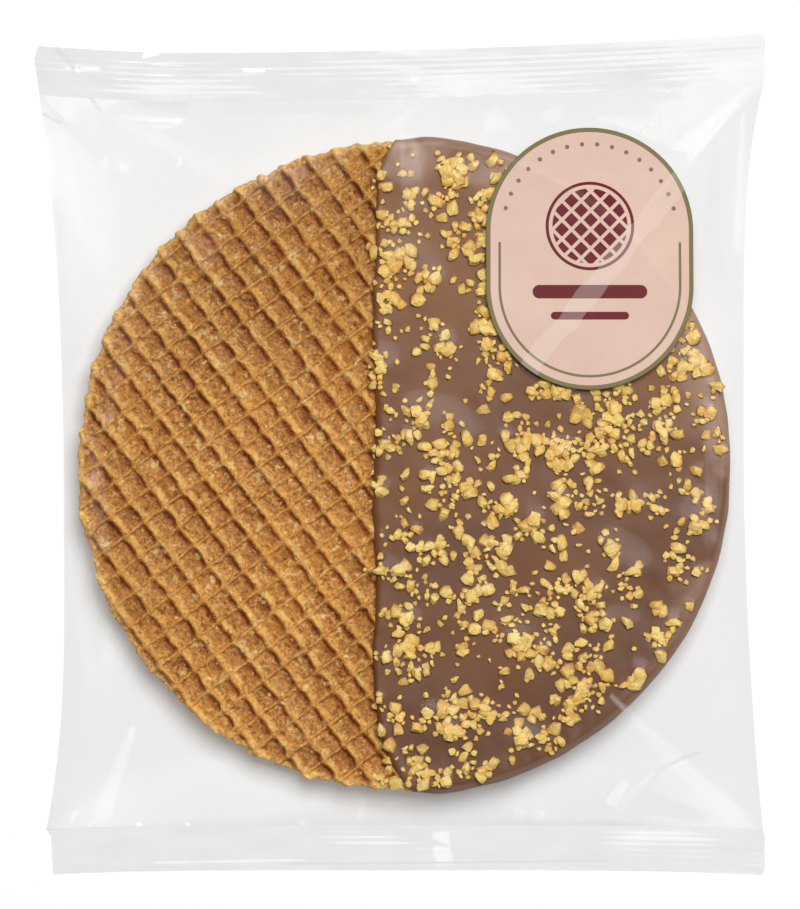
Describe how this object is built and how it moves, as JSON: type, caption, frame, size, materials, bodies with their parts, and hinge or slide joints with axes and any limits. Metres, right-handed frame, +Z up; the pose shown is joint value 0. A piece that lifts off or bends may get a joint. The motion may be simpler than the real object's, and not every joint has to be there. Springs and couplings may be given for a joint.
{
  "type": "stroopwafel in a clear bag",
  "caption": "Round stroopwafel, half dipped in chocolate and strewn with chopped nuts, sealed flat in a clear film bag with crimped ends and an oval sticker.",
  "frame": {"origin": "on the table, under the middle of the bag's outline", "axes": "+X across the bag towards its right side, +Y along it towards its top seal, +Z up, away from the table"},
  "size_m": [0.1412, 0.162, 0.0112],
  "materials": {
    "film": "gloss",
    "sticker": "satin",
    "waffle": "matte",
    "syrup": "gloss",
    "chocolate": "satin",
    "nuts": "matte"
  },
  "bodies": {
    "root": {"bag": "film", "label": "sticker"}
  },
  "joints": []
}
